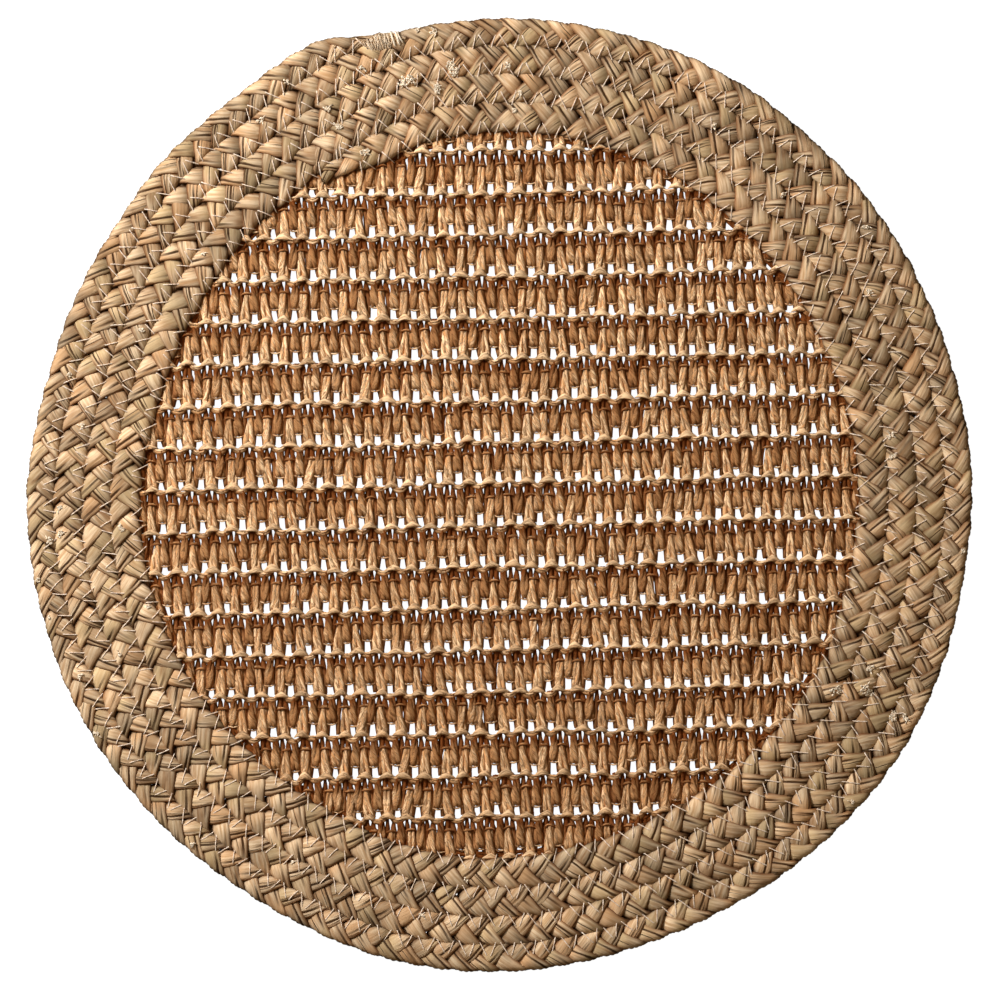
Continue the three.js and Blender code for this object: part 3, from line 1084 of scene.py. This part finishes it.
# %% Raffia material
def fibre_finish(name, straw_dark, straw_pale, middling, shadow):
    raffia = Finish(name)
    run, east, north = raffia.measured("yarn")
    shade, chance, low = raffia.measured("tone")
    across = raffia.vector(run * 0.16, east * 1.8 + chance * 31.0, north * 1.8)
    fine = raffia.vector(run * 0.4, east * 5.0 + chance * 17.0, north * 5.0)
    streak = raffia.noise(across, 1.0, 3.0)
    fibre = raffia.noise(fine, 1.0, 2.0)
    split = 1 - (streak - 0.5).distance().eased(0.0, 0.04)
    # Painted light and shade: a shade below 0 paints a highlight that turns the straw paler, and a shade
    # towards 1 paints it browner and then into the shadow colour.
    lit = (0 - shade).eased(0.0, 0.4)
    straw = raffia.mixed(streak.eased(0.3, 0.64).or_more(lit * 0.7), straw_dark, straw_pale)
    # Browner towards the bottom of the mat.
    browner_low_down = raffia.mixed(low.eased(0.5, 2.0) * 0.3, straw, middling)
    half_shaded = raffia.mixed(shade.eased(0.0, 0.5), browner_low_down, middling)
    shaded = raffia.mixed(shade.eased(0.35, 1.0), half_shaded, shadow)
    # Painted shade: the fine splits between the fibres are darkened with the shadow colour, less where a
    # highlight is painted.
    split_shaded = raffia.mixed(split * (0.72 - lit * 0.4), shaded, shadow)
    bright = 1.08 + (fibre - 0.5) * 0.75 + chance * 0.3
    relief = streak * 0.6 + fibre * 0.3 - split * 0.5
    return raffia.finished(
        Base_Color=raffia.shaded(split_shaded, bright),
        Roughness=0.65 + fibre * 0.15,
        Specular_IOR_Level=0.04,
        Normal=raffia.bump(relief, 0.0005),
    )


# %% [markdown]
# The three meshes of the crochet take the same finish. Together they are one soft sheet that lies flat on
# the table.

# %% Make the crochet
raffia_material = fibre_finish(
    "twisted_raffia",
    straw_dark=(0.66, 0.32, 0.125),
    straw_pale=(0.95, 0.665, 0.39),
    middling=(0.46, 0.225, 0.09),
    shadow=(0.20, 0.056, 0.012),
)
crochet_front, crochet_back, crochet_loops = [
    piece.build(raffia_material) for piece in crochet_pieces()
]
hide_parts("crochet_panel")

# %% [markdown]
# ## The sewing thread
# A pale thread zigzags over every seam: out onto the outer course, and back down into the inner one.
# It can't be drawn on a flat plan, because it is pulled tight over lumpy leaf. So the height of the
# mat is felt out by dropping rays onto the strands and stitches. Each leg of the zigzag is then laid
# as a taut string over the highest points under it, and its two ends sink into the leaf.

# %% Feel the surface
def surface_trees(pieces):
    bpy.context.view_layer.update()
    graph = bpy.context.evaluated_depsgraph_get()
    return [BVHTree.FromObject(piece, graph) for piece in pieces]


laid_surface = surface_trees(strand_pieces + [crochet_front, crochet_back])
DROP_HEIGHT = 20.0


def surface_height(x, y):
    """How high the mat stands at a place, all in millimetres."""
    start = Vector((x * MM, y * MM, DROP_HEIGHT * MM))
    highest = 0.0
    for tree in laid_surface:
        hit = tree.ray_cast(start, Vector((0, 0, -1)), DROP_HEIGHT * MM)[0]
        if hit is not None:
            highest = max(highest, hit.z / MM)
    return highest


# %% A taut thread
THREAD_RADIUS = 0.24
THREAD_BEND = 0.2
SINK_LEAST = 0.28
SINK_MOST = 0.84
LEG_STEPS = 7


def taut(heights):
    """The heights of a string that is pulled tight over a row of heights."""
    last = len(heights) - 1
    pulled = np.array(heights, dtype=float)
    for low in range(last):
        for high in range(low + 2, last + 1):
            share = np.arange(1, high - low) / (high - low)
            chord = heights[low] * (1 - share) + heights[high] * share
            pulled[low + 1:high] = np.maximum(pulled[low + 1:high], chord)
    return pulled


def thread_over(piece, start, end, chance):
    """Lays one leg of thread from start to end, each given as x and y in millimetres."""
    share = np.linspace(0, 1, LEG_STEPS)
    bend = chance.uniform(-THREAD_BEND, THREAD_BEND) * np.sin(math.pi * share)
    x = start[0] + (end[0] - start[0]) * share + bend
    y = start[1] + (end[1] - start[1]) * share - bend
    heights = [surface_height(*place) for place in zip(x, y)]
    sunk = chance.uniform(SINK_LEAST, SINK_MOST, 2)
    heights[0] -= sunk[0] + THREAD_RADIUS
    heights[-1] -= sunk[1] + THREAD_RADIUS
    path = np.stack([x, y, taut(heights) + THREAD_RADIUS / 2], axis=1)
    width = np.full(LEG_STEPS, THREAD_RADIUS)
    rings, yarn = yarn_tube(path, width, width, 5, 3.0, chance)
    piece.add_tube(rings, {"yarn": yarn})


# %% [markdown]
# The zigzag leans, as a machine's does on a curve: one leg goes out steeply and the other comes back
# on a slant. The seams are at the middle between one course's outer edge and the next course's inner
# edge. Round the crochet the thread lies half on the braid and half on the first stitches.

# %% Sew the seams
HELD_SHIFTS = (0, 0.6, -0.6, 1.2, -1.2)
ZIGZAG_LENGTH = 8.2
ZIGZAG_SLIP = 0.5
STEEP_LEG = 2.2
THREAD_APART = 0.6
SLANTED_LEG = 4.1
LEAST_HELD = 1.3
# How far the needle goes in and out from the seam, and the wound degrees that are sewn.
SEAM_REACH = (-1.6, 4.9)
SEAM_SEWN = (4, BRAID_WOUND_DEGREES - 362)
RIM_REACH = (-2.4, 3.6)
RIM_SEWN = (6, 366)


def seam_radius(wound):
    return (braid_edges(wound)[1] + braid_edges(wound + 360)[0]) / 2


def rim_seam_radius(wound):
    return braid_edges(wound)[0]


def held_place(radius, angle):
    """A place near this radius where the needle finds leaf or stitches to go through."""
    places = [around_centre(radius + shift, angle) for shift in HELD_SHIFTS]
    heights = [surface_height(*place) for place in places]
    firm = [place for place, height in zip(places, heights) if height > LEAST_HELD]
    return firm[0] if firm else places[int(np.argmax(heights))]


def sew(piece, radius_at, sewn, reach, chance):
    wound, last = sewn
    while wound < last:
        per_mm = math.degrees(1 / radius_at(wound))
        slip = chance.uniform(-ZIGZAG_SLIP, ZIGZAG_SLIP, 6)

        def needle(along, out, slips):
            at = wound + (along + slips[0]) * per_mm
            return held_place(radius_at(at) + out + slips[1], BRAID_START_ANGLE - at)

        low = needle(0, reach[0], slip[:2])
        high = needle(STEEP_LEG, reach[1], slip[2:4])
        beside = needle(STEEP_LEG + THREAD_APART, reach[1], slip[2:4])
        back = needle(STEEP_LEG + THREAD_APART + SLANTED_LEG, reach[0], slip[4:])
        thread_over(piece, low, high, chance)
        thread_over(piece, beside, back, chance)
        wound += (ZIGZAG_LENGTH + chance.uniform(-ZIGZAG_SLIP, ZIGZAG_SLIP)) * per_mm


chance = np.random.default_rng(21)
thread = Piece("sewing_thread", {"rows_per_tube": 0, "columns": 32, "rows": 36})
sew(thread, seam_radius, SEAM_SEWN, SEAM_REACH, chance)
sew(thread, rim_seam_radius, RIM_SEWN, RIM_REACH, chance)
print("legs of thread:", thread.tube_count)

# %% [markdown]
# ## The bound end
# The outer end of the braid is pinched to a point and laid along the rim. It is bound with many turns
# of pale twine in two layers, the second one at a slant, and past them with three turns of torn leaf.
# The core is one lump of leaf that tapers both ways. The turns are helices round it, drawn with some
# disorder so that they don't look machine wound. A modifier would repeat one turn exactly, which is
# what hand binding never does.

# %% The core of the bound end
BOUND_FROM = 106.9
BOUND_TO = 101.6
BOUND_RADIUS = 186.8
BOUND_TURNS_IN = 0.7
BOUND_HEIGHT = 3.5
CORE_TONE = 0.3
# Two rows each: shares of the length, and the half width or half depth there.
BOUND_WIDTHS = ([0, 0.15, 0.42, 0.8, 1], [1.4, 3.2, 3.6, 2.2, 1.0])
BOUND_DEPTHS = ([0, 0.15, 0.5, 0.85, 1], [1.0, 1.7, 1.9, 1.6, 0.8])


def bound_middle(share):
    """The middle line of the bound end, and how wide and deep it is."""
    angle = BOUND_FROM + (BOUND_TO - BOUND_FROM) * share
    x, y = around_centre(BOUND_RADIUS - BOUND_TURNS_IN * share ** 2, angle)
    lumps = 1 + wander(share * 10, 1.7, 55, 0.08)
    wide = np.interp(share, *BOUND_WIDTHS) * lumps
    deep = np.interp(share, *BOUND_DEPTHS) * lumps
    return np.stack([x, y, np.full_like(x, BOUND_HEIGHT)], axis=-1), wide, deep


core_share = np.linspace(0, 1, 26)
core_path, core_wide, core_deep = bound_middle(core_share)
core_rings, core_yarn = yarn_tube(core_path, core_wide, core_deep, 14, 1.0, chance)
core = Piece("bound_end", {"rows_per_tube": 0, "columns": 4, "rows": 2})
core.add_tube(core_rings, {"yarn": core_yarn, "tone": np.full(core_yarn.shape, CORE_TONE)})


# %% Turns round the core
TWINE_RADIUS = 0.25
TWINE_TONE = 0.22
TWINE_FROM = 0.06
TWINE_TO = 0.64
# Rows of turns, slant in millimetres, and seed.
TWINE_LAYERS = [(15, 0.5, 56), (9, -1.4, 66)]
LOOPS_AT = (0.68, 0.78, 0.87)
LOOP_SPAN = 0.06
LOOP_SLANT = 0.3
LOOP_HALF_WIDTH = 1.15
LOOP_HALF_DEPTH = 0.42
LOOP_LOOSENESS = 0.4
LOOP_TONE = -0.05


def turns_round(first, last, turns, radius, slope, seed):
    """A helix round the bound end, from one share of its length to another."""
    share = np.linspace(0, 1, turns * 12 + 1)
    middle, wide, deep = bound_middle(first + (last - first) * share)
    turning = share * turns * 2 * math.pi
    slant = slope + wander(share * turns, 1.3, seed, 0.8)
    loose = 0.7 * radius * (1 + wander(share * turns, 0.7, seed + 1, 0.6))
    outward = middle[:, :2] - spiral_centre
    outward /= np.linalg.norm(outward, axis=1, keepdims=True)
    onward = np.stack([-outward[:, 1], outward[:, 0]], axis=1)
    middle[:, :2] += outward * ((wide + loose) * np.cos(turning))[:, None]
    middle[:, :2] += onward * (slant * np.sin(turning + 0.8))[:, None]
    middle[:, 2] += (deep + loose) * np.sin(turning)
    return middle


for turns, slope, seed in TWINE_LAYERS:
    turn_path = turns_round(TWINE_FROM, TWINE_TO, turns, TWINE_RADIUS, slope, seed)
    turn_width = np.full(len(turn_path), TWINE_RADIUS)
    turn_rings, turn_yarn = yarn_tube(turn_path, turn_width, turn_width, 5, 40.0, chance)
    core.add_tube(turn_rings, {"yarn": turn_yarn, "tone": np.full(turn_yarn.shape, TWINE_TONE)})

for number, place in enumerate(LOOPS_AT):
    loop_path = turns_round(place, place + LOOP_SPAN, 1, LOOP_LOOSENESS, LOOP_SLANT, 70 + number)
    wide_leaf = np.full(len(loop_path), LOOP_HALF_WIDTH)
    thin_leaf = np.full(len(loop_path), LOOP_HALF_DEPTH)
    loop_rings, loop_yarn = yarn_tube(loop_path, thin_leaf, wide_leaf, 8, 1.0, chance)
    core.add_tube(loop_rings, {"yarn": loop_yarn, "tone": np.full(loop_yarn.shape, LOOP_TONE)})
print("tubes in the bound end:", core.tube_count)

# %% [markdown]
# The thread is spun from two pale plies with a pinkish cast. At this size only a faint twist shows, so
# a soft noise along the thread does for it, and modelled plies would be lost.

# %% Thread material
def thread_finish():
    spun = Finish("spun_thread")
    run, east, north = spun.measured("yarn")
    ply = spun.noise(spun.vector(run * 1.4, east * 3.0, north * 3.0), 1.0, 2.0)
    colour = spun.mixed(ply.eased(0.35, 0.65), (0.76, 0.56, 0.41), (1.0, 0.85, 0.70))
    return spun.finished(
        Base_Color=colour,
        Roughness=0.6 + ply * 0.2,
        Specular_IOR_Level=0.2,
        Normal=spun.bump(ply, 0.0002),
    )


sewing_thread = thread.build(thread_finish())

# %% [markdown]
# ## Cut ends
# Wherever a new leaf was laid into the braid, the old one was cut off close to the surface. Its end
# frays into a small pale brush. Hair particles could do this, but a brush has only a few dozen fibres
# and each one is thick enough to see. So each is a short tapered tube, most of them lying close in a
# patch and a few splayed out of it.

# %% Fray the cut ends
# Rows of millimetres east and north of the spiral's centre, the brush's reach, and the way it points
# in degrees.
CUT_ENDS = [
    (-26.5, 184.8, 2.6, 200), (-19.3, 170.0, 5.2, 105), (-37.3, 165.6, 4.8, 5), (-25.3, 162.4, 3.4, 290),
    (3.1, 171.2, 2.8, 100), (-96.1, 149.6, 2.6, 30), (-68.9, 154.0, 2.4, 80), (-64.1, 146.8, 2.6, 150),
    (-85.3, 164.8, 2.0, 120), (-54.0, 136.8, 3.2, 20), (-180.1, -18.8, 2.6, 100), (-175.7, -16.0, 2.2, 60),
    (-151.3, -13.6, 2.6, 140), (146.3, -78.4, 4.6, 320), (133.9, -78.8, 3.8, 0), (157.1, -89.2, 3.6, 80),
    (161.9, -89.2, 2.4, 300), (147.9, -69.6, 2.6, 20), (155.9, 23.2, 2.8, 70), (156.7, 14.8, 2.4, 200),
]
SMALL_ENDS = 26
SMALL_REACH = (1.0, 1.9)
SMALL_OFF_MIDDLE = (1.5, 4.0)
PATCH_LENGTH = 0.62
PATCH_WIDTH = 0.4
LEAST_FIBRES = 8
FIBRES_PER_AREA = 2.0
SPLAYED_EVERY = 7
FIBRE_TAPER = np.array([0.5, 0.52, 0.5, 0.36])
FIBRE_ROOTED = 0.4
TURNED_ASIDE = 0.9
# How long a fibre is and how high it stands: first for one that is splayed, then for one that lies.
SPLAYED_FIBRE = ((1.4, 2.4), (0.3, 0.8))
LYING_FIBRE = ((0.2, 0.6), (0.35, 0.6))


def brush(piece, east, north, reach, pointing, chance):
    """A tight patch of short fibres on whatever leaf is there, with a few longer ones that splay."""
    ahead = math.radians(pointing)
    fibres = int(LEAST_FIBRES + reach * reach * FIBRES_PER_AREA)
    for fibre in range(fibres):
        splayed = fibre % SPLAYED_EVERY == SPLAYED_EVERY - 1
        spin, reached = chance.uniform(0, 2 * math.pi), math.sqrt(chance.uniform(0, 1))
        out = PATCH_LENGTH * reach * reached * math.cos(spin)
        beside = PATCH_WIDTH * reach * reached * math.sin(spin)
        root_x = spiral_centre[0] + east + out * math.cos(ahead) - beside * math.sin(ahead)
        root_y = spiral_centre[1] + north + out * math.sin(ahead) + beside * math.cos(ahead)
        ground = surface_height(root_x, root_y)
        way = ahead + chance.normal(0, TURNED_ASIDE)
        lengths, heights = SPLAYED_FIBRE if splayed else LYING_FIBRE
        length = chance.uniform(*lengths)
        height = chance.uniform(*heights)
        share = np.linspace(0, 1, 4)
        x = root_x + share * length * math.cos(way)
        y = root_y + share * length * math.sin(way)
        rise = ground - FIBRE_ROOTED + (height + FIBRE_ROOTED) * np.sin(share * math.pi / 2)
        thick = FIBRE_TAPER * (chance.uniform(0.35, 0.55) if splayed else 0.86)
        rings, yarn = yarn_tube(np.stack([x, y, rise], axis=1), thick, thick, 5, 1.0, chance)
        tone = (chance.uniform(-0.6, -0.1), chance.uniform(0.3, 0.8), 0.0)
        piece.add_tube(rings, {"yarn": yarn, "tone": np.broadcast_to(np.array(tone), yarn.shape)})


frayed = Piece("cut_ends", {"rows_per_tube": 0, "columns": 24, "rows": 30})
chance = np.random.default_rng(31)
for east, north, reach, pointing in CUT_ENDS:
    brush(frayed, east, north, reach, pointing, chance)
for end in range(SMALL_ENDS):
    wound = chance.uniform(20, BRAID_WOUND_DEGREES - 20)
    radius = course_radius(wound) + chance.choice([-1, 1]) * chance.uniform(*SMALL_OFF_MIDDLE)
    x, y = around_centre(radius, BRAID_START_ANGLE - wound)
    place = (x - spiral_centre[0], y - spiral_centre[1])
    brush(frayed, *place, chance.uniform(*SMALL_REACH), chance.uniform(0, 360), chance)
print("fibres in the cut ends:", frayed.tube_count)

# %% [markdown]
# The cut ends and the bound end are torn leaf too, only paler, because the inside of the leaf shows
# where it was cut. So they reuse the raffia's finish with other colours.

# %% Finish of the cut ends and the bound end
cut_leaf = fibre_finish(
    "cut_leaf",
    straw_dark=(0.76, 0.56, 0.36),
    straw_pale=(1.0, 0.87, 0.69),
    middling=(0.52, 0.33, 0.17),
    shadow=(0.34, 0.20, 0.10),
)
for made in (frayed.build(cut_leaf), core.build(cut_leaf)):
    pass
